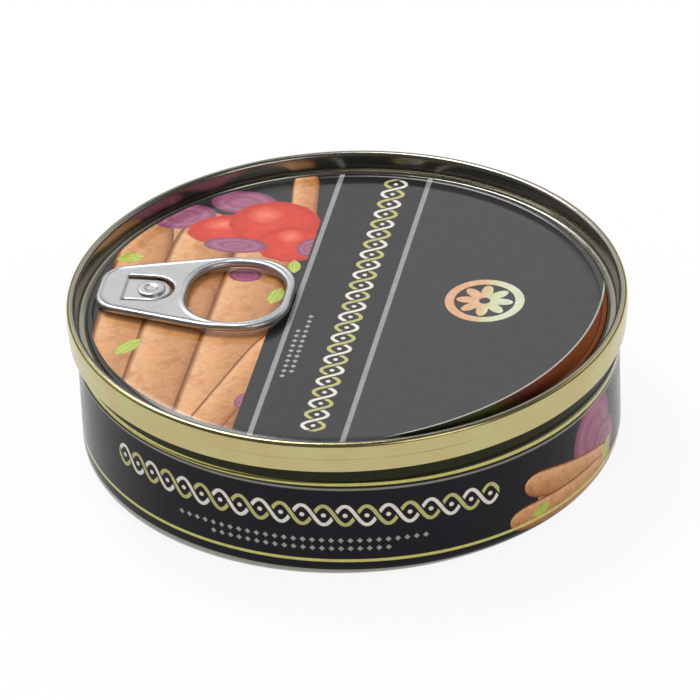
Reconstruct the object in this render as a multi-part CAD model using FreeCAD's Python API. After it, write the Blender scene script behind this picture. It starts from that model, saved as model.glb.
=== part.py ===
"""Shut round tin of sprats with a ring-pull end: drawn body, seamed end, pull tab.

Origin at the centre of the underside, +Z up, millimetres. The tab lies along X,
with its nose towards -X.
"""
import FreeCAD
import Part
import math
import os

# overall
overall_height = 29.5
seam_diameter = 102.3

# double seam that joins the end to the body
seam_height = 3.2
seam_thickness = 1.5
seam_lower_round = 0.25
seam_crest_flat = 0.02

# body shoulder below the seam, and the straight wall below that
shoulder_height = 2.8
shoulder_inset = 0.2
shoulder_round = 0.5
wall_inset = 1.55
rolled_bead_drop = 9.1
rolled_bead_height = 1.1
rolled_bead_depth = 0.25

# underside
corner_radius = 2.8
standing_ring_width = 1.8
base_recess = 1.2
base_slope_run = 1.0
base_round = 0.5
base_bead_radius = 34.0
base_bead_width = 4.0
base_bead_depth = 0.5

# end: wall inside the seam, groove at its foot, and the panel
sheet_thickness = 0.3
panel_depth = 3.2
groove_depth = 4.2
chuck_wall_run = 0.4
groove_width = 1.65
groove_round = 0.6
panel_edge_round = 0.35
hidden_clearance = 0.15
score_inset = 1.2
score_width = 0.4
score_depth = 0.14

# pull tab: lengths along it are from the nose tip
tab_length = 36.4
tab_thickness = 1.5
tab_edge_round = 0.6
tab_tip_inset = 1.4
tab_gap = 0.55
tab_lift = 0.4
nose_half_width = 6.7
nose_round = 5.5
ring_half_width = 12.2
ring_round = 9.2
full_width_run = 14.4
flank_round = 20.0
finger_hole_start = 16.8
finger_hole_half_width = 10.15
finger_hole_roundness = 0.95
ring_end_width = 1.9

# tongue inside the tab, which the rivet holds down on its island
rivet_setback = 10.0
tongue_radius = 3.6
tongue_slot = 0.6
tongue_length = 4.9
tongue_root = 1.2
tongue_thickness = 0.6

# rivet raised from the end, on a low island that carries the tongue
island_height = 1.0
island_radius = 3.0
island_spread = 0.6
rivet_stem_radius = 1.5
rivet_clearance = 0.1
rivet_head_radius = 2.6
rivet_head_height = 0.5
rivet_head_round = 0.3
rivet_dimple_radius = 1.1
rivet_dimple_depth = 0.2

# worked out from the values above
seam_radius = seam_diameter / 2
wall_radius = seam_radius - wall_inset
shoulder_radius = seam_radius - shoulder_inset
seam_foot_z = overall_height - seam_height
shoulder_foot_z = seam_foot_z - shoulder_height
panel_z = overall_height - panel_depth
groove_z = overall_height - groove_depth
chuck_top_radius = seam_radius - seam_thickness
chuck_foot_radius = chuck_top_radius - chuck_wall_run
panel_radius = chuck_foot_radius - groove_width
tab_tip_x = -(panel_radius - tab_tip_inset)
rivet_x = tab_tip_x + rivet_setback
tongue_z = panel_z + island_height
rivet_head_z = tongue_z + tongue_thickness

vector = FreeCAD.Vector
tolerance = 1e-6
z_axis = vector(0, 0, 1)


def rounded_wire(corners, place):
    """Closed wire through corners (a, b, radius), each rounded by a tangent arc."""
    flat = [vector(a, b, 0) for a, b, _ in corners]
    edges = []
    stretches = []
    for index, (_, _, radius) in enumerate(corners):
        corner = flat[index]
        back = (flat[index - 1] - corner).normalize()
        ahead = (flat[(index + 1) % len(flat)] - corner).normalize()
        if radius == 0:
            stretches.append((corner, corner, None))
            continue
        half = back.getAngle(ahead) / 2
        reach = radius / math.tan(half)
        centre_line = (back + ahead).normalize()
        middle = corner + centre_line * (radius / math.sin(half) - radius)
        stretches.append((corner + back * reach, corner + ahead * reach, middle))
    for index, (start, end, middle) in enumerate(stretches):
        if middle is not None:
            edges.append(Part.Arc(place(start), place(middle), place(end)).toShape())
        following = stretches[(index + 1) % len(stretches)][0]
        if (following - end).Length > tolerance:
            edges.append(Part.LineSegment(place(end), place(following)).toShape())
    return Part.Wire(edges)


def turned(corners):
    """Solid of revolution about Z from a half section of (radius, height, round)."""
    wire = rounded_wire(corners, lambda point: vector(point.x, 0, point.y))
    solid = Part.Face(wire).revolve(vector(0, 0, 0), z_axis, 360)
    return solid if solid.Volume > 0 else solid.reversed()


def can_body():
    """Drawn body with its contents, closed below and filled up to the end."""
    ring_outer = wall_radius - corner_radius
    ring_inner = ring_outer - standing_ring_width
    recess_radius = ring_inner - base_slope_run
    bead_inner = base_bead_radius - base_bead_width / 2
    bead_outer = base_bead_radius + base_bead_width / 2
    bead_floor = base_recess - base_bead_depth
    bead_slope = base_bead_depth
    under_groove_z = groove_z - sheet_thickness - hidden_clearance
    under_panel_z = panel_z - sheet_thickness
    pocket_inner = panel_radius - sheet_thickness - hidden_clearance
    pocket_outer = chuck_top_radius + sheet_thickness + hidden_clearance
    bead_z = overall_height - rolled_bead_drop
    half_bead = rolled_bead_height / 2
    solid = turned([
        (0, base_recess, 0),
        (bead_inner, base_recess, base_round),
        (bead_inner + bead_slope, bead_floor, base_round),
        (bead_outer - bead_slope, bead_floor, base_round),
        (bead_outer, base_recess, base_round),
        (recess_radius, base_recess, base_round),
        (ring_inner, 0, base_round),
        (wall_radius, 0, corner_radius),
        (wall_radius, bead_z - half_bead, 0),
        (wall_radius + rolled_bead_depth, bead_z, half_bead),
        (wall_radius, bead_z + half_bead, 0),
        (wall_radius, shoulder_foot_z, shoulder_round),
        (shoulder_radius, shoulder_foot_z, shoulder_round),
        (shoulder_radius, seam_foot_z, 0),
        (pocket_outer, seam_foot_z, 0),
        (pocket_outer, under_groove_z, 0),
        (pocket_inner, under_groove_z, 0),
        (pocket_inner, under_panel_z, 0),
        (0, under_panel_z, 0),
    ])
    return solid


def lid():
    """End with its seam, the sloped wall inside it, the groove, the panel and the rivet."""
    crest_round = (seam_thickness - seam_crest_flat) / 2
    score_radius = panel_radius - score_inset
    lower_panel_z = panel_z - sheet_thickness
    lower_groove_z = groove_z - sheet_thickness
    groove_outer = chuck_foot_radius + sheet_thickness
    end = turned([
        (0, panel_z, 0),
        (score_radius - score_width / 2, panel_z, 0),
        (score_radius, panel_z - score_depth, 0),
        (score_radius + score_width / 2, panel_z, 0),
        (panel_radius, panel_z, panel_edge_round),
        (panel_radius, groove_z, groove_round),
        (chuck_foot_radius, groove_z, groove_round),
        (chuck_top_radius, overall_height, crest_round),
        (seam_radius, overall_height, crest_round),
        (seam_radius, seam_foot_z, seam_lower_round),
        (chuck_top_radius + sheet_thickness, seam_foot_z, 0),
        (groove_outer, lower_groove_z, groove_round),
        (panel_radius - sheet_thickness, lower_groove_z, groove_round),
        (panel_radius - sheet_thickness, lower_panel_z, 0),
        (0, lower_panel_z, 0),
    ])
    return end.fuse(rivet()).removeSplitter()


def rivet():
    """Rivet raised from its island on the panel, with a flat head staked over the tongue."""
    place = vector(rivet_x, 0, 0)
    root = sheet_thickness / 2
    island = Part.makeCone(island_radius + island_spread, island_radius, island_height,
                           place + z_axis * panel_z)
    island = island.fuse(Part.makeCylinder(island_radius + island_spread, root,
                                           place + z_axis * (panel_z - root)))
    stem = Part.makeCylinder(rivet_stem_radius, tongue_thickness, place + z_axis * tongue_z)
    head = Part.makeCylinder(rivet_head_radius, rivet_head_height, place + z_axis * rivet_head_z)
    top_edges = [edge for edge in head.Edges
                 if edge.BoundBox.ZMin > rivet_head_z + rivet_head_height / 2]
    head = head.makeFillet(rivet_head_round, top_edges)
    dimple_z = rivet_head_z + rivet_head_height - rivet_dimple_depth
    dimple = Part.makeCylinder(rivet_dimple_radius, rivet_head_height, place + z_axis * dimple_z)
    return island.fuse(stem).fuse(head).cut(dimple)


def flat_face(corners):
    """Level face at height 0 with the given rounded corners, mirrored over the tab's long axis."""
    far_side = [(x, -y, radius) for x, y, radius in reversed(corners)]
    return Part.Face(rounded_wire(corners + far_side, lambda point: point))


def tab_outline():
    """Face of the tab's plan: a blunt nose that widens to the ring."""
    return flat_face([
        (0, -nose_half_width, nose_round),
        (tab_length - full_width_run, -ring_half_width, flank_round),
        (tab_length, -ring_half_width, ring_round),
    ])


def finger_hole():
    """Face of the finger hole's plan: an oval that follows the inside of the ring."""
    hole_end = tab_length - ring_end_width
    half_length = (hole_end - finger_hole_start) / 2
    corner_round = finger_hole_roundness * min(half_length, finger_hole_half_width)
    return flat_face([
        (finger_hole_start, -finger_hole_half_width, corner_round),
        (hole_end, -finger_hole_half_width, corner_round),
    ])


def tongue_plan(radius, root):
    """Face of the tongue's plan: round about the rivet, straight back to its root."""
    start = rivet_setback - tongue_length - root
    wire = Part.Wire([
        Part.LineSegment(vector(start, -radius, 0), vector(rivet_setback, -radius, 0)).toShape(),
        Part.Arc(vector(rivet_setback, -radius, 0), vector(rivet_setback + radius, 0, 0),
                 vector(rivet_setback, radius, 0)).toShape(),
        Part.LineSegment(vector(rivet_setback, radius, 0), vector(start, radius, 0)).toShape(),
        Part.LineSegment(vector(start, radius, 0), vector(start, -radius, 0)).toShape(),
    ])
    return Part.Face(wire)


def tab():
    """Pull tab, lifted a little at its ring, with a level tongue under the rivet head."""
    plate = tab_outline().extrude(z_axis * tab_thickness)
    plate = plate.cut(finger_hole().extrude(z_axis * tab_thickness))
    rim = [edge for edge in plate.Edges if edge.BoundBox.ZLength < tolerance]
    plate = plate.makeFillet(tab_edge_round, rim)
    plate.rotate(vector(0, 0, 0), vector(0, -1, 0), tab_lift)
    plate.translate(z_axis * tab_gap)
    clear_height = 4 * tab_thickness
    opening = tongue_plan(tongue_radius + tongue_slot, 0).extrude(z_axis * clear_height)
    opening.translate(z_axis * -tab_thickness)
    tongue = tongue_plan(tongue_radius, tongue_root).extrude(z_axis * tongue_thickness)
    tongue = tongue.cut(Part.makeCylinder(rivet_stem_radius + rivet_clearance, tongue_thickness,
                                          vector(rivet_setback, 0, 0)))
    tongue.translate(z_axis * island_height)
    piece = plate.cut(opening).fuse(tongue).removeSplitter()
    piece.translate(vector(tab_tip_x, 0, panel_z))
    return piece


os.makedirs("parts", exist_ok=True)
for name, make in (("can_body", can_body), ("lid", lid), ("tab", tab)):
    shape = make()
    solid = shape.Solids[0]
    print(name, "solids", len(shape.Solids), "valid", shape.isValid(),
          "volume", round(shape.Volume, 1), "mm3")
    solid.exportStep("parts/" + name + ".step")
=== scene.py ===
import math

import bpy
from mathutils import Matrix, Vector, noise


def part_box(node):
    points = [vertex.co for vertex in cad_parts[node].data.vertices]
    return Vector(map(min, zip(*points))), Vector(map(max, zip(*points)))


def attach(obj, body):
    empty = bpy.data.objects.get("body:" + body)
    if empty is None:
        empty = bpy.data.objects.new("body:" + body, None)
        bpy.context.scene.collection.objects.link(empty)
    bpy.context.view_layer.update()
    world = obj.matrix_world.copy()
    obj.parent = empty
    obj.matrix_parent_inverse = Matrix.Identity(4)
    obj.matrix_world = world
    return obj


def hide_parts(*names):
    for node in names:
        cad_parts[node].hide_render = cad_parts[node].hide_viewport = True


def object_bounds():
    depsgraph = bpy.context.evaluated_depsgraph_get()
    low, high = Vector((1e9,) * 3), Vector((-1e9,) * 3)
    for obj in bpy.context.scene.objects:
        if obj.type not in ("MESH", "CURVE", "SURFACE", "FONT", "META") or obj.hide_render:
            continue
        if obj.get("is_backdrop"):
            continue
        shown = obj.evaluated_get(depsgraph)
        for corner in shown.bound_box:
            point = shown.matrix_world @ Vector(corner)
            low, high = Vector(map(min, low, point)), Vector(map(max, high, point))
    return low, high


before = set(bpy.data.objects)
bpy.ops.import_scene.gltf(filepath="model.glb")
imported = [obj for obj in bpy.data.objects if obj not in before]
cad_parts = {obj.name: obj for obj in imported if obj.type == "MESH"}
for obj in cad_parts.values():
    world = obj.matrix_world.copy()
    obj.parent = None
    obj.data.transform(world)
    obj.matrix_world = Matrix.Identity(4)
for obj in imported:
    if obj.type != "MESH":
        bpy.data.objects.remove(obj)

cadLow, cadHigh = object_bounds()
cadLow, cadHigh = cadLow.copy(), cadHigh.copy()
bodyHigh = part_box("can_body")[1]
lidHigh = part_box("lid")[1]
tabLow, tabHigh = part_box("tab")
print("frame loaded")

metre = 1000  # millimetres
seamRadius = lidHigh.x * metre
topHeight = lidHigh.z * metre
shoulderRadius = bodyHigh.x * metre
seamFoot = bodyHigh.z * metre

can = {  # millimetres, inwards from the seam and down from the top
    "wallInset": 1.55,
    "shoulderHeight": 2.8,
    "shoulderRound": 0.5,
    "beadDrop": 9.1,
    "beadHeight": 1.1,
    "beadDepth": 0.25,
    "cornerRadius": 2.8,
    "standingRingWidth": 1.8,
    "baseRecess": 1.2,
    "baseBeadRadius": 34.0,
    "baseBeadWidth": 4.0,
    "baseBeadDepth": 0.5,
    "seamThickness": 1.5,
    "seamLowerRound": 0.3,
    "chuckWallRun": 0.4,
    "panelDepth": 3.2,
    "grooveDepth": 4.2,
    "grooveWidth": 1.65,
    "panelRound": 0.35,
    "scoreInset": 1.2,
    "scoreWidth": 0.4,
    "scoreDepth": 0.14,
    "sheet": 0.3,
    "lap": 0.7,
    "grooveRound": 0.6,
    "crestRound": 0.74,
    "beadRound": 0.4,
    "baseRound": 0.5,
    "baseSlope": 1.0,
    "tuck": 0.1,
}
wallRadius = seamRadius - can["wallInset"]
shoulderFoot = seamFoot - can["shoulderHeight"]
chuckTop = seamRadius - can["seamThickness"]
chuckFoot = chuckTop - can["chuckWallRun"]
panelRadius = chuckFoot - can["grooveWidth"]
panelHeight = topHeight - can["panelDepth"]
grooveHeight = topHeight - can["grooveDepth"]


def linear(hexColour):
    parts = [int(hexColour[i:i + 2], 16) / 255 for i in (1, 3, 5)]
    return (*[p / 12.92 if p <= 0.04045 else ((p + 0.055) / 1.055) ** 2.4 for p in parts], 1.0)


# adds one node: settings first, then its inputs in order (None leaves one alone) or by name
def addNode(tree, kind, *inputs, stops=(), sockets=None, **settings):
    node = tree.nodes.new(kind)
    for key, value in settings.items():
        setattr(node, key, value)
    while stops and len(node.color_ramp.elements) < len(stops):
        node.color_ramp.elements.new(1.0)
    for element, (place, colour) in zip(node.color_ramp.elements if stops else (), stops):
        element.position = place
        element.color = linear(colour)
    pairs = list(zip(node.inputs, inputs))
    pairs += [(node.inputs[key], value) for key, value in (sockets or {}).items()]
    for socket, value in pairs:
        if value is None:
            continue
        if isinstance(value, bpy.types.Node):
            value = value.outputs[0]
        if isinstance(value, bpy.types.NodeSocket):
            tree.links.new(value, socket)
        else:
            socket.default_value = value
    return node


def newMaterial(name):
    material = bpy.data.materials.new(name)
    material.use_nodes = True
    material.node_tree.nodes.clear()
    return material, material.node_tree


def finishSurface(tree, sockets):
    shader = addNode(tree, "ShaderNodeBsdfPrincipled", sockets=sockets)
    addNode(tree, "ShaderNodeOutputMaterial", shader)


# place on the piece in millimetres
def millimetres(tree):
    coords = addNode(tree, "ShaderNodeTexCoord")
    return addNode(tree, "ShaderNodeVectorMath", coords.outputs["Object"], (metre, metre, metre),
                   operation="MULTIPLY")


# 1 on a line at a height, falling to 0 from the full to the none distance either side
def lineMask(tree, value, middle, full, none):
    away = addNode(tree, "ShaderNodeMath", value, middle, operation="SUBTRACT")
    away = addNode(tree, "ShaderNodeMath", away, operation="ABSOLUTE")
    return addNode(tree, "ShaderNodeMapRange", away, none, full, 0.0, 1.0)


# cuts a repeating band to the motif's length
def cutToLength(group, start, along, mask):
    end = addNode(group, "ShaderNodeMath", along, operation="ABSOLUTE")
    limit = addNode(group, "ShaderNodeMath", start.outputs["Length"], 0.5, operation="MULTIPLY")
    inside = addNode(group, "ShaderNodeMath", end, limit, operation="LESS_THAN")
    return addNode(group, "ShaderNodeMath", mask, inside, operation="MULTIPLY")


def newMotif(name, **inputs):
    group = bpy.data.node_groups.new(name, "ShaderNodeTree")
    group.interface.new_socket("Vector", in_out="INPUT", socket_type="NodeSocketVector")
    for key, value in inputs.items():
        socket = group.interface.new_socket(key, in_out="INPUT", socket_type="NodeSocketFloat")
        socket.default_value = value
    group.interface.new_socket("Color", in_out="OUTPUT", socket_type="NodeSocketColor")
    group.interface.new_socket("Mask", in_out="OUTPUT", socket_type="NodeSocketFloat")
    start = addNode(group, "NodeGroupInput")
    axes = addNode(group, "ShaderNodeSeparateXYZ", start)
    return group, start, axes.outputs["X"], axes.outputs["Y"]


# printed motifs: each is a node group drawn inside a circle or box of half size 1
def makeSprat():
    group, start, along, across = newMotif("sprat")
    size = addNode(group, "ShaderNodeMath", along, operation="ABSOLUTE")
    taper = addNode(group, "ShaderNodeMath", size, 7.0, operation="POWER")
    width = addNode(group, "ShaderNodeMath", 1.0, taper, operation="SUBTRACT")
    width = addNode(group, "ShaderNodeMath", width, 0.0001, operation="MAXIMUM")
    width = addNode(group, "ShaderNodeMath", width, operation="SQRT")
    side = addNode(group, "ShaderNodeMath", across, width, operation="DIVIDE")
    span = addNode(group, "ShaderNodeMapRange", side, -1.0, 1.0, 0.0, 1.0)
    skin = addNode(group, "ShaderNodeValToRGB", span, stops=[
        (0.0, "#3a1406"), (0.045, "#a0622f"), (0.2, "#c58a58"), (0.5, "#d29964"), (0.74, "#e6aa76"),
        (0.9, "#e9b585"), (0.95, "#a8682f"), (1.0, "#3a1406")])
    grain = addNode(group, "ShaderNodeVectorMath", start, (9.0, 1.4, 1.0), operation="MULTIPLY")
    streak = addNode(group, "ShaderNodeTexNoise", grain, None, 1.0, 3.0, 0.6)
    tone = addNode(group, "ShaderNodeValToRGB", streak, stops=[
        (0.3, "#d3a27a"), (0.5, "#ffffff"), (0.75, "#ffead6")])
    skin = addNode(group, "ShaderNodeMixRGB", 0.6, skin, tone, blend_type="MULTIPLY")
    edge = addNode(group, "ShaderNodeMath", side, operation="ABSOLUTE")
    mask = addNode(group, "ShaderNodeMapRange", edge, 1.0, 0.97, 0.0, 1.0)
    inside = addNode(group, "ShaderNodeMath", size, 1.0, operation="LESS_THAN")
    mask = addNode(group, "ShaderNodeMath", mask, inside, operation="MULTIPLY")
    addNode(group, "NodeGroupOutput", skin, mask)
    return group


def makeTomato():
    group, start, _, _ = newMotif("tomato")
    uneven = addNode(group, "ShaderNodeTexNoise", start, None, 2.2, 2.0, 0.5)
    away = addNode(group, "ShaderNodeVectorMath", start, operation="LENGTH")
    away = away.outputs["Value"]
    away = addNode(group, "ShaderNodeMath", uneven, 0.25, away, operation="MULTIPLY_ADD")
    flesh = addNode(group, "ShaderNodeValToRGB", away, stops=[
        (0.1, "#dc442b"), (0.6, "#da3e26"), (0.9, "#d43922"), (1.0, "#ca3420")])
    shine = addNode(group, "ShaderNodeVectorMath", start, (-0.25, 0.35, 0.0), operation="DISTANCE")
    glow = addNode(group, "ShaderNodeMapRange", shine.outputs["Value"], 0.4, 0.05, 0.0, 0.7)
    flesh = addNode(group, "ShaderNodeMixRGB", glow, flesh, linear("#ff8a70"))
    mask = addNode(group, "ShaderNodeMapRange", away, 1.12, 1.06, 0.0, 1.0)
    addNode(group, "NodeGroupOutput", flesh, mask)
    return group


def makeOnion():
    group, start, _, _ = newMotif("onion")
    away = addNode(group, "ShaderNodeVectorMath", start, operation="LENGTH").outputs["Value"]
    rings = addNode(group, "ShaderNodeValToRGB", away, stops=[
        (0.0, "#9a5876"), (0.3, "#a9657f"), (0.45, "#94526f"), (0.65, "#ad6b86"),
        (0.8, "#965473"), (1.0, "#804460")])
    mask = addNode(group, "ShaderNodeMapRange", away, 1.0, 0.93, 0.0, 1.0)
    addNode(group, "NodeGroupOutput", rings, mask)
    return group


def makeLeaf():
    group, start, along, across = newMotif("leaf")
    size = addNode(group, "ShaderNodeMath", along, along, operation="MULTIPLY")
    reach = addNode(group, "ShaderNodeMath", 1.0, size, operation="SUBTRACT")
    side = addNode(group, "ShaderNodeMath", across, operation="ABSOLUTE")
    inside = addNode(group, "ShaderNodeMath", reach, side, operation="SUBTRACT")
    green = addNode(group, "ShaderNodeValToRGB", side, stops=[
        (0.0, "#dbe27a"), (0.12, "#a9bd48"), (0.6, "#c2cf56"), (1.0, "#7d9440")])
    mask = addNode(group, "ShaderNodeMapRange", inside, 0.0, 0.1, 0.0, 1.0)
    addNode(group, "NodeGroupOutput", green, mask)
    return group


# twisted two-strand band, in millimetres, its middle at the origin
braid = {"loop": 7.3, "swing": 1.95, "strand": 0.8, "gap": 0.35, "dot": 0.5,
         "cream": "#e9e6da", "gold": "#c2bd74"}


def makeBraid():
    group, start, along, across = newMotif("braid", Length=87.6)
    loop, swing = braid["loop"], braid["swing"]
    phase = addNode(group, "ShaderNodeMath", along, 2 * math.pi / loop, operation="MULTIPLY")
    rise = addNode(group, "ShaderNodeMath", phase, operation="SINE")
    lean = addNode(group, "ShaderNodeMath", phase, operation="COSINE")
    slope = addNode(group, "ShaderNodeMath", lean, 2 * math.pi * swing / loop, operation="MULTIPLY")
    slope = addNode(group, "ShaderNodeMath", slope, slope, 1.0, operation="MULTIPLY_ADD")
    slope = addNode(group, "ShaderNodeMath", slope, operation="SQRT")
    distances = []
    for swingSide in (swing, -swing):
        away = addNode(group, "ShaderNodeMath", rise, -swingSide, across, operation="MULTIPLY_ADD")
        away = addNode(group, "ShaderNodeMath", away, operation="ABSOLUTE")
        distances.append(addNode(group, "ShaderNodeMath", away, slope, operation="DIVIDE"))
    onTop = addNode(group, "ShaderNodeMath", lean, 0.0, operation="GREATER_THAN")
    upper = addNode(group, "ShaderNodeMixRGB", onTop, *distances)
    lower = addNode(group, "ShaderNodeMixRGB", onTop, *reversed(distances))
    cream, gold = linear(braid["cream"]), linear(braid["gold"])
    upperInk = addNode(group, "ShaderNodeMixRGB", onTop, cream, gold)
    lowerInk = addNode(group, "ShaderNodeMixRGB", onTop, gold, cream)
    half = braid["strand"] / 2
    lowerMask = addNode(group, "ShaderNodeMapRange", lower, half, half - 0.12, 0.0, 1.0)
    gapMask = addNode(group, "ShaderNodeMapRange", upper, half + braid["gap"],
                      half + braid["gap"] - 0.1, 1.0, 0.0)
    upperMask = addNode(group, "ShaderNodeMapRange", upper, half, half - 0.12, 0.0, 1.0)
    lowerMask = addNode(group, "ShaderNodeMath", lowerMask, gapMask, operation="MULTIPLY")
    ink = addNode(group, "ShaderNodeMixRGB", upperMask, lowerInk, upperInk)
    # a dot in each eye
    step = addNode(group, "ShaderNodeMath", along, 2 / loop, operation="MULTIPLY")
    step = addNode(group, "ShaderNodeMath", step, operation="FRACT")
    step = addNode(group, "ShaderNodeMath", step, 0.5, operation="SUBTRACT")
    step = addNode(group, "ShaderNodeMath", step, loop / 2, operation="MULTIPLY")
    spot = addNode(group, "ShaderNodeCombineXYZ", step, across, 0.0)
    spot = addNode(group, "ShaderNodeVectorMath", spot, operation="LENGTH").outputs["Value"]
    dot = addNode(group, "ShaderNodeMapRange", spot, braid["dot"], braid["dot"] - 0.15, 0.0, 1.0)
    ink = addNode(group, "ShaderNodeMixRGB", dot, ink, cream)
    mask = addNode(group, "ShaderNodeMath", lowerMask, upperMask, operation="MAXIMUM")
    mask = addNode(group, "ShaderNodeMath", mask, dot, operation="MAXIMUM")
    mask = cutToLength(group, start, along, mask)
    addNode(group, "NodeGroupOutput", ink, mask)
    return group


dotRule = {"pitch": 1.7, "diamond": 0.62, "soft": 0.17, "ink": "#a8a6a0"}


# row of small diamonds, in millimetres
def makeDotRule():
    group, start, along, across = newMotif("dotRule", Length=22.0)
    pitch, diamond = dotRule["pitch"], dotRule["diamond"]
    step = addNode(group, "ShaderNodeMath", along, 1 / pitch, operation="MULTIPLY")
    step = addNode(group, "ShaderNodeMath", step, operation="FRACT")
    step = addNode(group, "ShaderNodeMath", step, 0.5, operation="SUBTRACT")
    step = addNode(group, "ShaderNodeMath", step, operation="ABSOLUTE")
    side = addNode(group, "ShaderNodeMath", across, operation="ABSOLUTE")
    away = addNode(group, "ShaderNodeMath", step, pitch, side, operation="MULTIPLY_ADD")
    mask = addNode(group, "ShaderNodeMapRange", away, diamond, diamond - dotRule["soft"], 0.0, 1.0)
    mask = cutToLength(group, start, along, mask)
    ink = addNode(group, "ShaderNodeRGB")
    ink.outputs[0].default_value = linear(dotRule["ink"])
    addNode(group, "NodeGroupOutput", ink, mask)
    return group


# eight-petal flower in a plain ring
def makeRosette():
    group, start, along, across = newMotif("rosette")
    away = addNode(group, "ShaderNodeVectorMath", start, operation="LENGTH").outputs["Value"]
    angle = addNode(group, "ShaderNodeMath", across, along, operation="ARCTAN2")
    petals = addNode(group, "ShaderNodeMath", angle, 4.0, operation="MULTIPLY")
    petals = addNode(group, "ShaderNodeMath", petals, operation="COSINE")
    petals = addNode(group, "ShaderNodeMath", petals, operation="ABSOLUTE")
    reach = addNode(group, "ShaderNodeMath", petals, 0.34, 0.36, operation="MULTIPLY_ADD")
    inside = addNode(group, "ShaderNodeMath", reach, away, operation="SUBTRACT")
    flower = addNode(group, "ShaderNodeMapRange", inside, -0.01, 0.02, 0.0, 1.0)
    heart = addNode(group, "ShaderNodeMapRange", away, 0.12, 0.16, 0.0, 1.0)
    flower = addNode(group, "ShaderNodeMath", flower, heart, operation="MULTIPLY")
    ring = lineMask(group, away, 0.86, full=0.10, none=0.12)
    mask = addNode(group, "ShaderNodeMath", flower, ring, operation="MAXIMUM")
    ink = addNode(group, "ShaderNodeMapRange", along, -0.5, 0.5, 0.0, 1.0)
    ink = addNode(group, "ShaderNodeValToRGB", ink, stops=[
        (0.0, "#e0ac84"), (0.45, "#dcb890"), (0.6, "#d3d2a0"), (1.0, "#d9dcc0")])
    addNode(group, "NodeGroupOutput", ink, mask)
    return group


motifs = {
    "sprat": makeSprat(), "tomato": makeTomato(), "onion": makeOnion(), "leaf": makeLeaf(),
    "braid": makeBraid(), "dotRule": makeDotRule(), "rosette": makeRosette(),
}
print("printed motifs ready")


# lays motifs over a colour: (motif, place, turn in degrees, half sizes, length or None)
def layMotifs(tree, coords, under, motifRows):
    for motif, place, turn, size, length in motifRows:
        at = addNode(tree, "ShaderNodeMapping", coords, (*place, 0.0), (0.0, 0.0, math.radians(turn)),
                     (*size, 1.0), vector_type="TEXTURE")
        shape = addNode(tree, "ShaderNodeGroup", at, length, node_tree=motifs[motif])
        under = addNode(tree, "ShaderNodeMixRGB", shape.outputs["Mask"], under, shape.outputs["Color"])
    return under


lathe = {"chord": 0.12, "mostSteps": 12, "hiddenShare": 0.06, "stripGap": 1.02, "discReach": 0.495,
         "sharpAngle": 38}


# rounds the corners (x, y, radius) of an outline and adds points along its long runs
def roundedOutline(corners, closed, spacing):
    points = []
    count = len(corners)
    for index, (radius, height, bend) in enumerate(corners):
        corner = Vector((radius, height))
        if bend == 0 or (not closed and index in (0, count - 1)):
            points.append((corner, index))
            continue
        back = (Vector(corners[index - 1][:2]) - corner).normalized()
        ahead = (Vector(corners[(index + 1) % count][:2]) - corner).normalized()
        half = back.angle(ahead) / 2
        centre = corner + (back + ahead).normalized() * bend / math.sin(half)
        start = corner + back * bend / math.tan(half) - centre
        end = corner + ahead * bend / math.tan(half) - centre
        sweep = math.atan2(start.x * end.y - start.y * end.x, start.dot(end))
        steps = min(max(3, round(abs(sweep) * bend / lathe["chord"])), lathe["mostSteps"])
        for step in range(steps + 1):
            points.append((centre + Matrix.Rotation(sweep * step / steps, 2) @ start, index))
    dense = []
    for index, (point, owner) in enumerate(points):
        dense.append((point, owner))
        if index + 1 == len(points) and not closed:
            break
        following = points[(index + 1) % len(points)][0]
        pieces = math.ceil((following - point).length / spacing)
        dense += [(point.lerp(following, k / pieces), owner) for k in range(1, pieces)]
    return dense


# one ring of vertices for each point of the outline, or one vertex where it meets the axis
def turnRings(outline, columns, centre, wave):
    vertices, rings = [], []
    for point, _ in outline:
        ring = []
        for column in range(columns if point.x > 1e-6 else 1):
            angle = 2 * math.pi * column / columns
            radius, height = point
            if wave:
                pushOut, pushUp = wave(angle, radius, height)
                radius, height = radius + pushOut, height + pushUp
            ring.append(len(vertices))
            vertices.append(((centre[0] + radius * math.cos(angle)) / metre,
                             (centre[1] + radius * math.sin(angle)) / metre, height / metre))
        rings.append(ring)
    return vertices, rings


# baking layout: stacked strips for a band, or a disc, with little room for what is hidden
def flatLayout(outline, shown, hidden, strips, columns):
    travelled = [0.0]
    loop = outline + outline[:1] if outline[0][0].x > 0 else outline
    for (point, owner), (following, _) in zip(loop, loop[1:]):
        share = lathe["hiddenShare"] if owner >= len(shown) - 1 and hidden else 1.0
        travelled.append(travelled[-1] + (following - point).length * share)
    total = travelled[-1]
    arc = 2 * math.pi * max(point.x for point, _ in outline)

    def layFlat(row, column, middle):
        if strips:
            perStrip = columns // strips
            strip = middle // perStrip
            full = max(arc / strips, strips * total * lathe["stripGap"])
            return ((column - strip * perStrip) / perStrip * arc / strips / full,
                    (strip * total * lathe["stripGap"] + travelled[row]) / full)
        angle = 2 * math.pi * column / columns
        reach = lathe["discReach"] * travelled[row] / total
        return 0.5 + reach * math.cos(angle), 0.5 + reach * math.sin(angle)

    return layFlat


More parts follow.
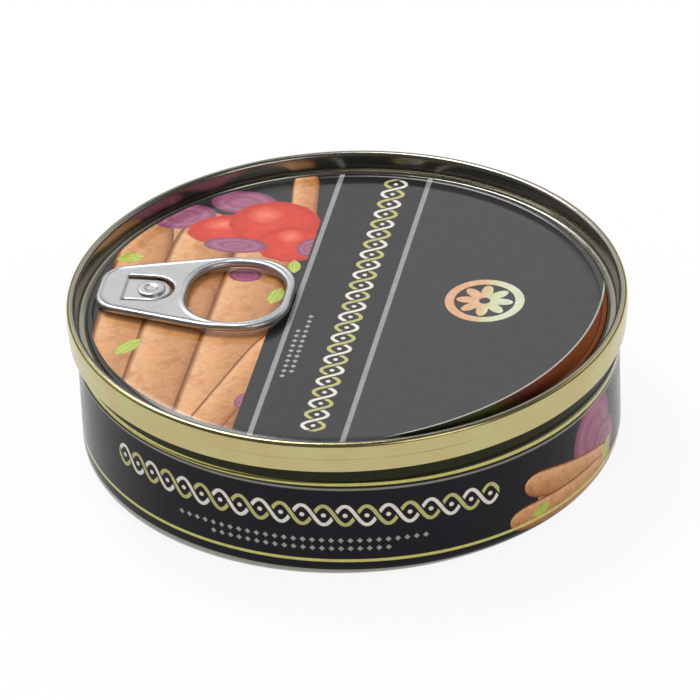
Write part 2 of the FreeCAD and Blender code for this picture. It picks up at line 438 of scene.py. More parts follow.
# joins neighbouring rings with faces, and gives each corner its place in the layout
def joinRings(rings, columns, inwards, layFlat):
    faces, places = [], []
    for row in range(len(rings) - 1):
        for column in range(columns):
            ahead = (column + 1) % columns
            corner = [(row, column, rings[row][column % len(rings[row])]),
                      (row + 1, column, rings[row + 1][column % len(rings[row + 1])]),
                      (row + 1, column + 1, rings[row + 1][ahead % len(rings[row + 1])]),
                      (row, column + 1, rings[row][ahead % len(rings[row])])]
            if len(rings[row]) == 1:
                corner = corner[:3]
            elif len(rings[row + 1]) == 1:
                corner = [corner[0], corner[1], corner[3]]
            if inwards:
                corner.reverse()
            faces.append([vertex for _, _, vertex in corner])
            places += [layFlat(r, c + (0.5 if len(rings[r]) == 1 else 0.0), column) for r, c, _ in corner]
    return faces, places


# lathe: turns an outline, shown part first, round the axis and unwraps it for baking
def turnPiece(name, shown, hidden, material, strips=0, spacing=3.0, wave=None, centre=(0.0, 0.0),
              columns=288):
    closed = shown[0][0] > 0
    outline = roundedOutline(shown + hidden, closed, spacing)
    vertices, rings = turnRings(outline, columns, centre, wave)
    rings += rings[:1] if closed else []
    area = sum(a.x * b.y - a.y * b.x for (a, _), (b, _) in zip(outline, outline[1:] + outline[:1]))
    layFlat = flatLayout(outline, shown, hidden, strips, columns)
    faces, places = joinRings(rings, columns, area > 0, layFlat)
    mesh = bpy.data.meshes.new(name)
    mesh.from_pydata(vertices, [], faces)
    layer = mesh.uv_layers.new(name="OFBake")
    for index, place in enumerate(places):
        layer.data[index].uv = place
    mesh.polygons.foreach_set("use_smooth", [True] * len(mesh.polygons))
    mesh.set_sharp_from_angle(angle=math.radians(lathe["sharpAngle"]))
    mesh.materials.append(material)
    piece = bpy.data.objects.new(name, mesh)
    bpy.context.scene.collection.objects.link(piece)
    return piece


# lithographed tinplate, offset printed and gloss varnished: dense even inks under one
# smooth clear coat, so the colours are dark and clean and the gloss lies over all of them
panelPrint = {  # millimetres on the panel; u crosses the printed lines, v runs along them
    "turn": -2.0,
    "ground": "#333334",
    "leftGround": "#272728",
    "line": "#979797",
    "lines": (-9.4, 7.35),
    "lineWidth": 1.05,
    "pictureEdge": -10.3,
    "fishEdge": -12.8,
    "fishTop": -4.0,
    "discRadius": 45.6,
    "discShift": (-1.92, 1.26),
    "edgeRadius": 55.7,
    "edgeShift": (-10.0, 8.0),
    "edgeStart": (14.0, 18.0),
    "edgeClimb": (-40.0, -4.0),
    # painted shade: the crescent's colours, near black at the front to brown at the side
    "crescentShadeRamp": [(0.0, "#141608"), (0.22, "#283300"), (0.4, "#430f00"), (0.62, "#632c00"), (1.0, "#743500")],
    "edgeLine": "#b4b2aa",
    "roughness": 0.16,
    "ior": 1.5,
}
fishFoot = -60.0
fishRows = [  # across at the middle, turn in degrees, half width, where the head ends
    (-35.2, 93.0, 4.4, 31.0),
    (-40.1, 93.0, 5.2, 29.0),
    (-30.1, 91.0, 6.3, 29.5),
    (-18.4, 90.0, 6.4, 30.0),
]


# the sprats lie side by side, their far ends cut off by the picture's edge
def layFishRows():
    laid = []
    for across, turn, halfWidth, head in fishRows:
        lean = math.radians(turn)
        half = (head - fishFoot) / 2
        middle = head - half
        place = (across + middle / math.tan(lean), middle)
        laid.append(("sprat", place, turn, (half, halfWidth), None))
    return laid


lidPicture = layFishRows() + [
    ("sprat", (-15.6, -32.4), 76.0, (23.0, 3.5), None),
    ("sprat", (-14.8, 36.5), 98.0, (9.5, 2.6), None),
    ("onion", (-36.0, 27.5), 20.0, (6.2, 4.4), None),
    ("onion", (-26.0, 34.0), 0.0, (6.4, 4.2), None),
    ("tomato", (-25.4, 24.2), 12.0, (9.6, 5.6), None),
    ("tomato", (-18.8, 27.0), 0.0, (8.8, 8.2), None),
    ("tomato", (-14.4, 20.2), -25.0, (6.6, 6.4), None),
    ("onion", (-24.5, 18.6), 0.0, (6.2, 2.8), None),
    ("onion", (-10.6, 19.5), 80.0, (3.4, 2.4), None),
    ("onion", (-20.6, 8.4), 0.0, (3.2, 2.4), None),
    ("onion", (-12.6, -33.5), 80.0, (2.6, 1.6), None),
    ("leaf", (-37.0, -18.5), 60.0, (3.4, 1.7), None),
    ("leaf", (-43.0, 11.8), 20.0, (2.6, 1.7), None),
    ("leaf", (-13.6, 2.0), 80.0, (3.0, 1.6), None),
    ("leaf", (-12.2, 12.5), 100.0, (2.4, 1.3), None),
]
lidOrnament = [
    ("braid", (1.25, 2.0), 90.0, (1.0, 1.0), 87.6),
    ("dotRule", (-5.9, -13.6), 90.0, (1.0, 1.0), 20.4),
    ("dotRule", (-7.3, -17.0), 90.0, (1.0, 1.0), 17.0),
    ("rosette", (24.6, 5.1), 0.0, (7.5, 7.5), None),
]


# faint ink mottle, a scuffed varnish and a slight orange peel over any print
def finishPrint(tree, place, colour, metal, settings):
    mottle = addNode(tree, "ShaderNodeTexNoise", place, None, 0.9, 4.0, 0.65)
    tone = addNode(tree, "ShaderNodeMapRange", mottle, 0.3, 0.7, 0.86, 1.1)
    colour = addNode(tree, "ShaderNodeVectorMath", colour, None, None, tone, operation="SCALE")
    scuff = addNode(tree, "ShaderNodeTexNoise", place, None, 0.35, 5.0, 0.7)
    rough = addNode(tree, "ShaderNodeMapRange", scuff, 0.35, 0.75, settings["roughness"],
                    settings["roughness"] + 0.12)
    peel = addNode(tree, "ShaderNodeTexNoise", place, None, 0.6, 2.0, 0.5)
    bump = addNode(tree, "ShaderNodeBump", 0.25, 0.00002, sockets={"Height": peel})
    finishSurface(tree, {"Base Color": colour, "Metallic": metal, "Roughness": rough, "Normal": bump,
                         "IOR": settings["ior"]})


def makePanelMaterial():
    material, tree = newMaterial("lithographedTinplatePanel")
    place = millimetres(tree)
    flat = addNode(tree, "ShaderNodeVectorMath", place, (1.0, 1.0, 0.0), operation="MULTIPLY")
    print2d = addNode(tree, "ShaderNodeMapping", flat, None, (0.0, 0.0, math.radians(panelPrint["turn"])),
                      vector_type="TEXTURE")
    axes = addNode(tree, "ShaderNodeSeparateXYZ", print2d)
    split = panelPrint["lines"][1]
    rightField = addNode(tree, "ShaderNodeMapRange", axes.outputs["X"], split, split + 0.1, 0.0, 1.0)
    ground = addNode(tree, "ShaderNodeMixRGB", rightField, linear(panelPrint["leftGround"]),
                     linear(panelPrint["ground"]))
    picture = addNode(tree, "ShaderNodeRGB")
    picture.outputs[0].default_value = linear(panelPrint["leftGround"])
    picture = layMotifs(tree, print2d, picture, lidPicture)
    fromDisc = addNode(tree, "ShaderNodeVectorMath", print2d, (*panelPrint["discShift"], 0.0),
                       operation="DISTANCE").outputs["Value"]
    inDisc = addNode(tree, "ShaderNodeMapRange", fromDisc, panelPrint["discRadius"],
                     panelPrint["discRadius"] - 0.15, 0.0, 1.0)
    # the picture stops nearer the line at the top, where the tomatoes are
    low = addNode(tree, "ShaderNodeMath", axes.outputs["Y"], panelPrint["fishTop"], operation="LESS_THAN")
    edge = addNode(tree, "ShaderNodeMapRange", low, 0.0, 1.0, panelPrint["pictureEdge"],
                   panelPrint["fishEdge"])
    leftOf = addNode(tree, "ShaderNodeMath", axes.outputs["X"], edge, operation="LESS_THAN")
    window = addNode(tree, "ShaderNodeMath", inDisc, leftOf, operation="MULTIPLY")
    colour = addNode(tree, "ShaderNodeMixRGB", window, ground, picture)
    half = panelPrint["lineWidth"] / 2
    for line in panelPrint["lines"]:
        mask = lineMask(tree, axes.outputs["X"], line, full=half - 0.12, none=half)
        colour = addNode(tree, "ShaderNodeMixRGB", mask, colour, linear(panelPrint["line"]))
    colour = layMotifs(tree, print2d, colour, lidOrnament)
    # painted shade: a dark metal crescent at the front right, near black in front and brown towards the
    # side, with a fine silver keyline
    fromEdge = addNode(tree, "ShaderNodeVectorMath", print2d, (*panelPrint["edgeShift"], 0.0),
                       operation="DISTANCE").outputs["Value"]
    past = addNode(tree, "ShaderNodeMath", fromEdge, panelPrint["edgeRadius"], operation="SUBTRACT")
    rightOf = addNode(tree, "ShaderNodeMapRange", axes.outputs["X"], *panelPrint["edgeStart"], 0.0, 1.0)
    shadedCrescent = addNode(tree, "ShaderNodeMapRange", past, 0.0, 0.15, 0.0, 1.0)
    shadedCrescent = addNode(tree, "ShaderNodeMath", shadedCrescent, rightOf, operation="MULTIPLY")
    climb = addNode(tree, "ShaderNodeMapRange", axes.outputs["Y"], *panelPrint["edgeClimb"], 0.0, 1.0)
    # painted shade: the crescent darkens towards the front, as the gold metal does in the rim's shade
    ink = addNode(tree, "ShaderNodeValToRGB", climb, stops=panelPrint["crescentShadeRamp"])
    colour = addNode(tree, "ShaderNodeMixRGB", shadedCrescent, colour, ink)
    key = lineMask(tree, past, 0.0, full=0.12, none=0.22)
    key = addNode(tree, "ShaderNodeMath", key, rightOf, operation="MULTIPLY")
    colour = addNode(tree, "ShaderNodeMixRGB", key, colour, linear(panelPrint["edgeLine"]))
    finishPrint(tree, place, colour, shadedCrescent, panelPrint)
    return material


wallPrint = {  # millimetres round the wall from the front, and down from the top
    "frontAngle": -80.3,
    "repeats": 2,
    "tilt": 1.25,
    "drop": 0.35,
    "ground": "#17151c",
    # painted shade: a dark olive band under the shoulder, where the overhang's shadow falls
    "strip": "#25260f",
    "keyline": "#b9b36a",
    "upperKeyline": (8.6, 9.35),
    "fineKeyline": (9.95, 10.25),
    "lowerKeyline": (24.9, 25.5),
    "printFoot": 27.1,
    "bareFoot": "#8b8a80",
    "fineInk": "#8a897c",
    "roughness": 0.14,
    "ior": 1.22,
}
wallMotifs = [
    ("braid", (-11.5, -15.6), 0.0, (1.055, 1.0), 73.0),
    ("dotRule", (-10.5, -20.9), 0.0, (1.0, 1.0), 47.6),
    ("dotRule", (-10.5, -22.6), 0.0, (1.0, 1.0), 34.0),
    ("onion", (53.2, -16.2), 60.0, (8.0, 7.4), None),
    ("onion", (57.6, -20.4), 0.0, (5.4, 4.8), None),
    ("sprat", (47.5, -23.4), -12.0, (12.0, 2.6), None),
    ("sprat", (46.5, -20.7), -14.0, (14.2, 2.9), None),
    ("sprat", (43.4, -24.3), -2.0, (14.2, 2.7), None),
    ("leaf", (36.5, -23.8), 10.0, (2.4, 1.2), None),
    ("leaf", (58.6, -22.6), 35.0, (3.0, 1.4), None),
]


def makeWallMaterial():
    material, tree = newMaterial("lithographedTinplateWall")
    place = millimetres(tree)
    turned = addNode(tree, "ShaderNodeMapping", place, None,
                     (0.0, 0.0, math.radians(wallPrint["frontAngle"])), vector_type="TEXTURE")
    axes = addNode(tree, "ShaderNodeSeparateXYZ", turned)
    angle = addNode(tree, "ShaderNodeMath", axes.outputs["Y"], axes.outputs["X"], operation="ARCTAN2")
    half = math.pi / wallPrint["repeats"]
    angle = addNode(tree, "ShaderNodeMath", angle, -half, half, operation="WRAP")
    arc = addNode(tree, "ShaderNodeMath", angle, wallRadius, operation="MULTIPLY")
    down = addNode(tree, "ShaderNodeMath", axes.outputs["Z"], topHeight - wallPrint["drop"],
                   operation="SUBTRACT")
    lean = math.tan(math.radians(wallPrint["tilt"]))
    down = addNode(tree, "ShaderNodeMath", axes.outputs["Y"], lean, down, operation="MULTIPLY_ADD")
    label = addNode(tree, "ShaderNodeCombineXYZ", arc, down, 0.0)
    ground = addNode(tree, "ShaderNodeRGB")
    ground.outputs[0].default_value = linear(wallPrint["ground"])
    colour = layMotifs(tree, label, ground, wallMotifs)
    depth = addNode(tree, "ShaderNodeMath", down, -1.0, operation="MULTIPLY")
    upper, lower = wallPrint["upperKeyline"], wallPrint["lowerKeyline"]
    # painted shade: above the upper keyline the wall is a dark olive band, standing for the shadow under
    # the shoulder's overhang
    strip = addNode(tree, "ShaderNodeMath", depth, upper[0], operation="LESS_THAN")
    colour = addNode(tree, "ShaderNodeMixRGB", strip, colour, linear(wallPrint["strip"]))
    metal = addNode(tree, "ShaderNodeMapRange", depth, wallPrint["printFoot"],
                    wallPrint["printFoot"] + 0.15, 0.0, 1.0)
    colour = addNode(tree, "ShaderNodeMixRGB", metal, colour, linear(wallPrint["bareFoot"]))
    for start, end in (upper, lower):
        edge = (end - start) / 2
        mask = lineMask(tree, depth, (start + end) / 2, full=edge - 0.05, none=edge + 0.05)
        colour = addNode(tree, "ShaderNodeMixRGB", mask, colour, linear(wallPrint["keyline"]))
        metal = addNode(tree, "ShaderNodeMath", mask, metal, operation="MAXIMUM")
    start, end = wallPrint["fineKeyline"]
    mask = lineMask(tree, depth, (start + end) / 2, full=(end - start) / 2, none=end - start)
    colour = addNode(tree, "ShaderNodeMixRGB", mask, colour, linear(wallPrint["fineInk"]))
    finishPrint(tree, place, colour, metal, wallPrint)
    return material


# gold-lacquered tinplate, drawn and seamed: a clear yellow film over bright metal, so its
# colour shows only in what it mirrors, with fine lines round it from the seaming rollers
goldLacquer = {"light": "#bcb681", "deep": "#bcab78", "inside": "#9a988c", "roughness": 0.2}
# pale lacquered tinplate of the base: a thin film, greyer, with a softer gloss
paleLacquer = {"light": "#b6b5ae", "deep": "#a3a296", "roughness": 0.34}
# satin rolled aluminium: pale neutral metal with a soft broad highlight and fine rolling lines
satinAluminium = {"light": "#c9c9ca", "deep": "#bebec0", "roughness": 0.32}


# within: the radius inside which the lacquer is thinner and greyer
def makeMetal(name, finish, grainScale, within=0.0):
    material, tree = newMaterial(name)
    place = millimetres(tree)
    stretched = addNode(tree, "ShaderNodeVectorMath", place, grainScale, operation="MULTIPLY")
    grain = addNode(tree, "ShaderNodeTexNoise", stretched, None, 1.0, 3.0, 0.6)
    cloud = addNode(tree, "ShaderNodeTexNoise", place, None, 0.12, 4.0, 0.6)
    blend = addNode(tree, "ShaderNodeMapRange", cloud, 0.35, 0.65, 0.0, 1.0)
    colour = addNode(tree, "ShaderNodeMixRGB", blend, linear(finish["light"]), linear(finish["deep"]))
    if within:
        flat = addNode(tree, "ShaderNodeVectorMath", place, (1.0, 1.0, 0.0), operation="MULTIPLY")
        radius = addNode(tree, "ShaderNodeVectorMath", flat, operation="LENGTH").outputs["Value"]
        inner = addNode(tree, "ShaderNodeMapRange", radius, within, within - 0.2, 0.0, 1.0)
        colour = addNode(tree, "ShaderNodeMixRGB", inner, colour, linear(finish["inside"]))
    rough = addNode(tree, "ShaderNodeMapRange", grain, 0.3, 0.7, finish["roughness"] - 0.05,
                    finish["roughness"] + 0.07)
    bump = addNode(tree, "ShaderNodeBump", 0.3, 0.00001, sockets={"Height": grain})
    finishSurface(tree, {"Base Color": colour, "Metallic": 1.0, "Roughness": rough, "Normal": bump})
    return material


panelMaterial = makePanelMaterial()
wallMaterial = makeWallMaterial()
crestRadius = chuckTop + 1.0
goldMaterial = makeMetal("goldLacqueredTinplate", goldLacquer, (0.3, 0.3, 6.0), within=crestRadius)
paleMaterial = makeMetal("paleLacqueredTinplate", paleLacquer, (0.3, 0.3, 4.0))
aluminiumMaterial = makeMetal("satinRolledAluminium", satinAluminium, (0.4, 7.0, 0.4))
print("materials ready")


# the sheet is never quite flat or round: slow seeded waves, a few hundredths of a millimetre
def slowWave(amount, turns, seed):
    def wave(angle, radius, height):
        at = Vector((math.cos(angle) * turns, math.sin(angle) * turns, seed + height * 0.02))
        return amount * noise.noise(at), 0.0
    return wave


def panelWave(angle, radius, height):
    at = Vector((radius * math.cos(angle) * 0.045, radius * math.sin(angle) * 0.045, 3.7))
    fade = max(0.0, min(1.0, (panelRadius - 1.6 - radius) / 6))
    return 0.0, 0.06 * fade * noise.noise(at)


scoreRadius = panelRadius - can["scoreInset"]
halfScore = can["scoreWidth"] / 2
panel = turnPiece("printedPanel", [
    (0, panelHeight, 0),
    (scoreRadius - halfScore, panelHeight, 0),
    (scoreRadius, panelHeight - can["scoreDepth"], 0.05),
    (scoreRadius + halfScore, panelHeight, 0),
    (panelRadius, panelHeight, can["panelRound"]),
    (panelRadius, grooveHeight + can["grooveRound"], 0),
], [
    (panelRadius - can["sheet"], grooveHeight + can["grooveRound"], 0),
    (panelRadius - can["sheet"], panelHeight - can["sheet"], 0),
    (0, panelHeight - can["sheet"], 0),
], panelMaterial, wave=panelWave)

seam = turnPiece("seamRing", [
    (panelRadius - 0.02, grooveHeight + can["lap"], 0),
    (panelRadius - 0.02, grooveHeight, can["grooveRound"]),
    (chuckFoot, grooveHeight, can["grooveRound"]),
    (chuckTop, topHeight, can["crestRound"]),
    (seamRadius, topHeight, can["crestRound"]),
    (seamRadius, seamFoot, can["seamLowerRound"]),
    (chuckTop + can["sheet"], seamFoot, 0),
], [
    (chuckFoot + can["sheet"], grooveHeight - can["sheet"], can["sheet"]),
    (panelRadius - can["sheet"], grooveHeight - can["sheet"], can["sheet"]),
    (panelRadius - can["sheet"], grooveHeight + can["lap"], 0),
], goldMaterial, strips=4, spacing=0.9, wave=slowWave(0.05, 5.0, 1.3))

ringOuter = wallRadius - can["cornerRadius"]
bead = topHeight - can["beadDrop"]
halfBead = can["beadHeight"] / 2
innerRadius = wallRadius - can["sheet"]
wallTop = shoulderFoot - can["shoulderRound"]
wall = turnPiece("printedWall", [
    (wallRadius, wallTop, 0),
    (wallRadius, bead + halfBead, can["beadRound"]),
    (wallRadius + can["beadDepth"], bead, can["beadRound"]),
    (wallRadius, bead - halfBead, can["beadRound"]),
    (wallRadius, 0, can["cornerRadius"]),
    (ringOuter - can["tuck"], 0, 0),
], [
    (ringOuter - can["tuck"], can["sheet"], 0),
    (innerRadius, can["cornerRadius"], 0),
    (innerRadius, wallTop, 0),
], wallMaterial, strips=4, spacing=1.2, wave=slowWave(0.04, 3.0, 8.1))

shoulder = turnPiece("bodyShoulder", [
    (wallRadius, wallTop, 0),
    (wallRadius, shoulderFoot, can["shoulderRound"] - 0.01),
    (shoulderRadius, shoulderFoot, can["shoulderRound"]),
    (shoulderRadius, seamFoot, 0),
], [
    (innerRadius, seamFoot, 0),
    (innerRadius, wallTop, 0),
], goldMaterial, strips=4, spacing=0.9, wave=slowWave(0.04, 4.0, 5.2))

ringInner = ringOuter - can["standingRingWidth"]
beadInner = can["baseBeadRadius"] - can["baseBeadWidth"] / 2
beadOuter = can["baseBeadRadius"] + can["baseBeadWidth"] / 2
recess = can["baseRecess"]
beadFloor = recess - can["baseBeadDepth"]
bend = can["baseRound"]
base = turnPiece("baseEnd", [
    (0, recess, 0),
    (beadInner, recess, bend),
    (beadInner + bend, beadFloor, bend),
    (beadOuter - bend, beadFloor, bend),
    (beadOuter, recess, bend),
    (ringInner - can["baseSlope"], recess, bend),
    (ringInner, 0, bend),
    (ringOuter - can["tuck"], 0, 0),
], [
    (ringOuter - can["tuck"], can["cornerRadius"], 0),
    (0, can["cornerRadius"], 0),
], paleMaterial, wave=slowWave(0.03, 3.0, 8.1))
print("can body and end turned")

# pull tab: a plain web inside rolled edges, cut by a U slot round its level tongue
tabShape = {  # millimetres from the nose tip
    "noseHalfWidth": 6.7,
    "noseRound": 5.5,
    "ringRound": 9.2,
    "fullWidthRun": 14.4,
    "flankRound": 20.0,
    "holeStart": 16.8,
    "holeHalfWidth": 10.15,
    "holeRound": 8.4,
    "ringEnd": 1.9,
    "thickness": 1.5,
    "lift": 0.4,
    "gap": 0.55,
    "rivetAt": 10.0,
    "tongueRadius": 3.6,
    "tongueSlot": 0.6,
    "tongueLength": 4.9,
    "tongueRoot": 1.2,
    "tongueThickness": 0.6,
    "islandHeight": 1.0,
    "rim": 0.75,
    "webDrop": 0.16,
    "webThickness": 0.7,
    "voxel": 0.19,
}


def mirrored(corners):
    return corners + [(x, -y, bend) for x, y, bend in reversed(corners)]


def tabOutline():
    shape = tabShape
    length, half = (tabHigh.x - tabLow.x) * metre, tabHigh.y * metre
    corners = mirrored([(0, -shape["noseHalfWidth"], shape["noseRound"]),
                        (length - shape["fullWidthRun"], -half, shape["flankRound"]),
                        (length, -half, shape["ringRound"])])
    return [point for point, _ in roundedOutline(corners, True, 0.8)]


def holeOutline():
    shape = tabShape
    end = (tabHigh.x - tabLow.x) * metre - shape["ringEnd"]
    corners = mirrored([(shape["holeStart"], -shape["holeHalfWidth"], shape["holeRound"]),
                        (end, -shape["holeHalfWidth"], shape["holeRound"])])
    return [point for point, _ in roundedOutline(corners, True, 0.8)]


# moves each point of a closed loop towards its inside
def insetLoop(points, distance):
    moved = []
    for index, point in enumerate(points):
        along = (points[(index + 1) % len(points)] - points[index - 1]).normalized()
        moved.append(point + Vector((-along.y, along.x)) * distance)
    return moved


def tonguePlan(radius, root):
    at = tabShape["rivetAt"]
    start = at - tabShape["tongueLength"] - root
    turn = [math.pi * (k / 24 - 0.5) for k in range(25)]
    return [(start, -radius), *[(at + radius * math.cos(a), radius * math.sin(a)) for a in turn],
            (start, radius)]


def curveMesh(loops, height, thickness=0.0, edge=0.0, tube=0.0):
    curve = bpy.data.curves.new("outline", "CURVE")
    curve.dimensions = "3D" if tube else "2D"
    curve.fill_mode = "FULL" if tube else "BOTH"
    curve.bevel_depth = tube or edge
    curve.bevel_resolution = 5 if tube else 3
    curve.extrude = 0.0 if tube else thickness / 2 - edge
    curve.offset = 0.0 if tube else -edge
    for loop in loops:
        spline = curve.splines.new("POLY")
        spline.points.add(len(loop) - 1)
        for point, (x, y) in zip(spline.points, loop):
            point.co = (x, y, 0.0, 1.0)
        spline.use_cyclic_u = True
    holder = bpy.data.objects.new("outline", curve)
    mesh = bpy.data.meshes.new_from_object(holder)
    bpy.data.objects.remove(holder)
    mesh.transform(Matrix.Translation((0, 0, height)))
    return mesh


def joinMeshes(name, meshes):
    vertices, faces = [], []
    for mesh in meshes:
        first = len(vertices)
        vertices += [v.co / metre for v in mesh.vertices]
        faces += [[first + index for index in face.vertices] for face in mesh.polygons]
    joined = bpy.data.meshes.new(name)
    joined.from_pydata(vertices, [], faces)
    piece = bpy.data.objects.new(name, joined)
    bpy.context.scene.collection.objects.link(piece)
    return piece


def makeTab():
    shape = tabShape
    rim, web, top = shape["rim"], shape["webThickness"], shape["thickness"]
    outline, hole = tabOutline(), holeOutline()
    opening = tonguePlan(shape["tongueRadius"] + shape["tongueSlot"], 0)
    plate = [
        curveMesh([insetLoop(outline, 0.3), insetLoop(hole, -0.3), opening],
                  top - shape["webDrop"] - web / 2, web, 0.12),
        curveMesh([insetLoop(outline, rim)], top - rim, tube=rim),
        curveMesh([insetLoop(hole, -rim)], top - rim, tube=rim),
    ]
    tilt = Matrix.Rotation(math.radians(-shape["lift"]), 4, "Y")
    rise = Matrix.Translation((0, 0, shape["gap"]))
    for mesh in plate:
        mesh.transform(rise @ tilt)
    thick = shape["tongueThickness"]
    tongue = curveMesh([tonguePlan(shape["tongueRadius"], shape["tongueRoot"])],
                       shape["islandHeight"] + thick / 2, thick, 0.1)
    piece = joinMeshes("pullTab", plate + [tongue])
    piece.data.transform(Matrix.Translation((tabLow.x, 0, panelHeight / metre)))
    remesh = piece.modifiers.new("remesh", "REMESH")
    remesh.mode = "VOXEL"
    remesh.voxel_size = shape["voxel"] / metre
    smooth = piece.modifiers.new("smooth", "SMOOTH")
    smooth.factor = 0.5
    smooth.iterations = 5
    shaped = bpy.data.meshes.new_from_object(piece.evaluated_get(bpy.context.evaluated_depsgraph_get()))
    piece.modifiers.clear()
    piece.data = shaped
    shaped.polygons.foreach_set("use_smooth", [True] * len(shaped.polygons))
    shaped.materials.clear()
    shaped.materials.append(aluminiumMaterial)
    return piece


tab = makeTab()
rivetShape = {  # millimetres; the head has a raised rim round a shallow dimple
    "headRadius": 2.6,
    "headHeight": 0.5,
    "rimRadius": 1.3,
    "dimpleRadius": 0.9,
    "dimpleHeight": 0.32,
    "headRound": 0.3,
    "dimpleRound": 0.2,
    "shankRadius": 1.5,
    "shankSink": 0.2,
    "islandRadius": 3.0,
    "islandFoot": 3.6,
    "islandRound": 0.3,
    "islandSink": 0.15,
}
rivetX = tabLow.x * metre + tabShape["rivetAt"]
tongueFoot = panelHeight + tabShape["islandHeight"]
headFoot = tongueFoot + tabShape["tongueThickness"]
headTop = headFoot + rivetShape["headHeight"]
dimple = headFoot + rivetShape["dimpleHeight"]
shankFoot = tongueFoot - rivetShape["shankSink"]
islandUnder = panelHeight - rivetShape["islandSink"]
rivet = turnPiece("rivetHead", [
    (0, dimple, 0),
    (rivetShape["dimpleRadius"], dimple, rivetShape["dimpleRound"]),
    (rivetShape["rimRadius"], headTop, rivetShape["dimpleRound"]),
    (rivetShape["headRadius"], headTop, rivetShape["headRound"]),
    (rivetShape["headRadius"], headFoot, 0),
], [
    (rivetShape["shankRadius"], headFoot, 0),
    (rivetShape["shankRadius"], shankFoot, 0),
    (0, shankFoot, 0),
], aluminiumMaterial, spacing=0.6, centre=(rivetX, 0.0), columns=96)
island = turnPiece("rivetIsland", [
    (0, tongueFoot, 0),
    (rivetShape["islandRadius"], tongueFoot, rivetShape["islandRound"]),
    (rivetShape["islandFoot"], panelHeight, 0),
], [
    (rivetShape["islandFoot"], islandUnder, 0),
    (0, islandUnder, 0),
], panelMaterial, spacing=0.6, centre=(rivetX, 0.0), columns=96)
print("pull tab and rivet made:", len(tab.data.polygons), "faces")

for piece in (panel, seam, wall, shoulder, base, tab, rivet, island):
    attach(piece, "root")
for piece in (panel, seam, rivet, island):
    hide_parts("lid")
for piece in (wall, shoulder, base):
    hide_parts("can_body")
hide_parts("tab")

stage = {
    "floor": "#f4f4f3", "floorShade": "#f0f0ef", "floorHalf": 4.0, "floorGlow": 0.9,
    "worldLight": 0.48, "darkSide": 0.12,
    "backdropSpread": (-0.1, 0.4),  # how squarely behind the tin a mirrored ray has to point
    "backdropFoot": (0.30, 0.42), "backdropTop": (0.62, 0.76),  # sine of its height
    "keyPower": 9.3, "fillPower": 3.0,
}
camera = {"azimuth": -80.3, "elevation": 31.709, "distance": 1.1, "lens": 310.6, "roll": 2.381,
          "aimBelow": 0.0097, "aside": 0.0002}


def direction(azimuth, elevation):
    turn, rise = math.radians(azimuth), math.radians(elevation)
    return Vector((math.cos(turn) * math.cos(rise), math.sin(turn) * math.cos(rise), math.sin(rise)))


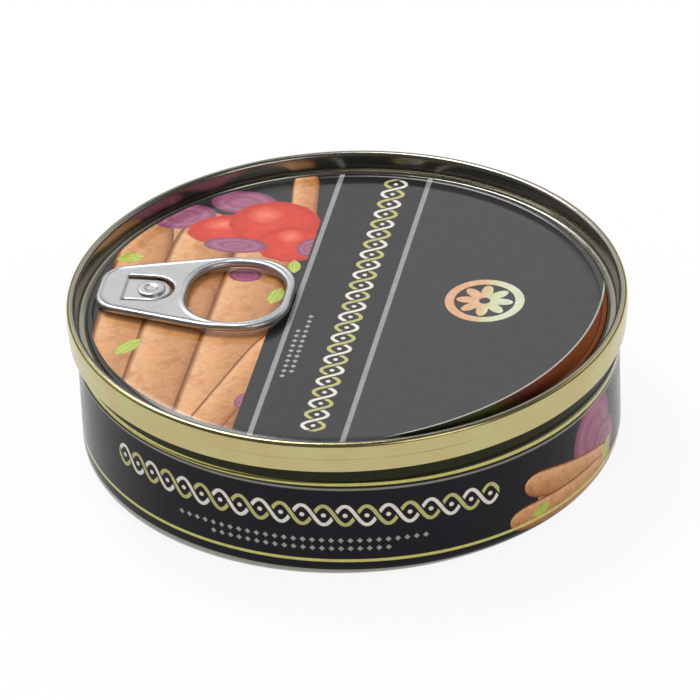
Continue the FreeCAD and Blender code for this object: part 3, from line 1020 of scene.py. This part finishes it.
def makeFloor():
    material, tree = newMaterial("paintedPaleFloor")
    place = millimetres(tree)
    speck = addNode(tree, "ShaderNodeTexNoise", place, None, 0.02, 3.0, 0.5)
    blend = addNode(tree, "ShaderNodeMapRange", speck, 0.3, 0.7, 0.0, 1.0)
    paint = addNode(tree, "ShaderNodeMixRGB", blend, linear(stage["floor"]), linear(stage["floorShade"]))
    matt = addNode(tree, "ShaderNodeBsdfDiffuse", paint)
    glow = addNode(tree, "ShaderNodeEmission", (1.0, 1.0, 1.0, 1.0), 1.0)
    rays = addNode(tree, "ShaderNodeLightPath")
    seen = addNode(tree, "ShaderNodeMath", rays.outputs["Is Camera Ray"], rays.outputs["Is Glossy Ray"],
                   operation="MAXIMUM")
    share = addNode(tree, "ShaderNodeMath", seen, stage["floorGlow"], operation="MULTIPLY")
    mix = addNode(tree, "ShaderNodeMixShader", share, matt, glow)
    addNode(tree, "ShaderNodeOutputMaterial", mix)
    mesh = bpy.data.meshes.new("floor")
    half = stage["floorHalf"]
    mesh.from_pydata([(-half, -half, 0), (half, -half, 0), (half, half, 0), (-half, half, 0)], [],
                     [(0, 1, 2, 3)])
    mesh.materials.append(material)
    floor = bpy.data.objects.new("floor", mesh)
    bpy.context.scene.collection.objects.link(floor)
    floor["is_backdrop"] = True


# plain light all round; what is shiny mirrors a white backdrop behind the tin and a dim room elsewhere
def makeWorld():
    world = bpy.data.worlds.new("softStudio")
    world.use_nodes = True
    tree = world.node_tree
    tree.nodes.clear()
    rays = addNode(tree, "ShaderNodeLightPath")
    aim = addNode(tree, "ShaderNodeTexCoord")
    rise = addNode(tree, "ShaderNodeSeparateXYZ", aim.outputs["Generated"]).outputs["Z"]
    backwards = -direction(camera["azimuth"], 0.0)
    behind = addNode(tree, "ShaderNodeVectorMath", aim.outputs["Generated"], backwards,
                     operation="DOT_PRODUCT").outputs["Value"]
    behind = addNode(tree, "ShaderNodeMapRange", behind, *stage["backdropSpread"], 0.0, 1.0)
    aboveFoot = addNode(tree, "ShaderNodeMapRange", rise, *stage["backdropFoot"], 0.0, 1.0)
    belowTop = addNode(tree, "ShaderNodeMapRange", rise, *stage["backdropTop"], 1.0, 0.0)
    backdrop = addNode(tree, "ShaderNodeMath", behind, aboveFoot, operation="MULTIPLY")
    backdrop = addNode(tree, "ShaderNodeMath", backdrop, belowTop, operation="MULTIPLY")
    reflection = addNode(tree, "ShaderNodeMapRange", backdrop, 0.0, 1.0, stage["darkSide"], 1.0)
    strength = addNode(tree, "ShaderNodeMapRange", rays.outputs["Is Camera Ray"], 0.0, 1.0,
                       stage["worldLight"], 1.0)
    strength = addNode(tree, "ShaderNodeMixRGB", rays.outputs["Is Glossy Ray"], strength, reflection)
    sky = addNode(tree, "ShaderNodeBackground", (1.0, 1.0, 1.0, 1.0), strength)
    addNode(tree, "ShaderNodeOutputWorld", sky)
    bpy.context.scene.world = world


def addSoftbox(name, azimuth, elevation, distance, size, power):
    light = bpy.data.lights.new(name, "AREA")
    light.shape = "RECTANGLE"
    light.size, light.size_y = size
    light.energy = power
    lamp = bpy.data.objects.new(name, light)
    away = direction(azimuth, elevation)
    lamp.location = Vector((0, 0, topHeight / metre)) + away * distance
    lamp.rotation_euler = away.to_track_quat("Z", "Y").to_euler()
    bpy.context.scene.collection.objects.link(lamp)


def makeCamera():
    data = bpy.data.cameras.new("camera")
    data.lens = camera["lens"]
    data.sensor_width = 36
    data.clip_end = 20
    away = direction(camera["azimuth"], camera["elevation"])
    right = direction(camera["azimuth"] + 90.0, 0.0)
    ahead = -away
    up = right.cross(ahead)
    low, roll = camera["aimBelow"], math.radians(camera["roll"])
    up, ahead = (up * math.cos(low) + ahead * math.sin(low),
                 ahead * math.cos(low) - up * math.sin(low))
    right, up = (right * math.cos(roll) - up * math.sin(roll), right * math.sin(roll) + up * math.cos(roll))
    eye = bpy.data.objects.new("camera", data)
    stand = Vector((0, 0, topHeight / metre)) + away * camera["distance"] + right * camera["aside"]
    eye.matrix_world = Matrix.Translation(stand) @ Matrix((right, up, -ahead)).transposed().to_4x4()
    bpy.context.scene.collection.objects.link(eye)
    bpy.context.scene.camera = eye


makeFloor()
makeWorld()
addSoftbox("keySoftbox", 135.0, 60.0, 1.2, (0.6, 0.6), stage["keyPower"])
addSoftbox("fillSoftbox", -45.0, 35.0, 1.4, (0.7, 0.7), stage["fillPower"])
makeCamera()
bpy.context.scene.view_settings.view_transform = "Standard"
print("floor, light and camera set")

newLow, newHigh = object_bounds()
{"cad": [list(cadLow), list(cadHigh)], "visual": [list(newLow), list(newHigh)]}
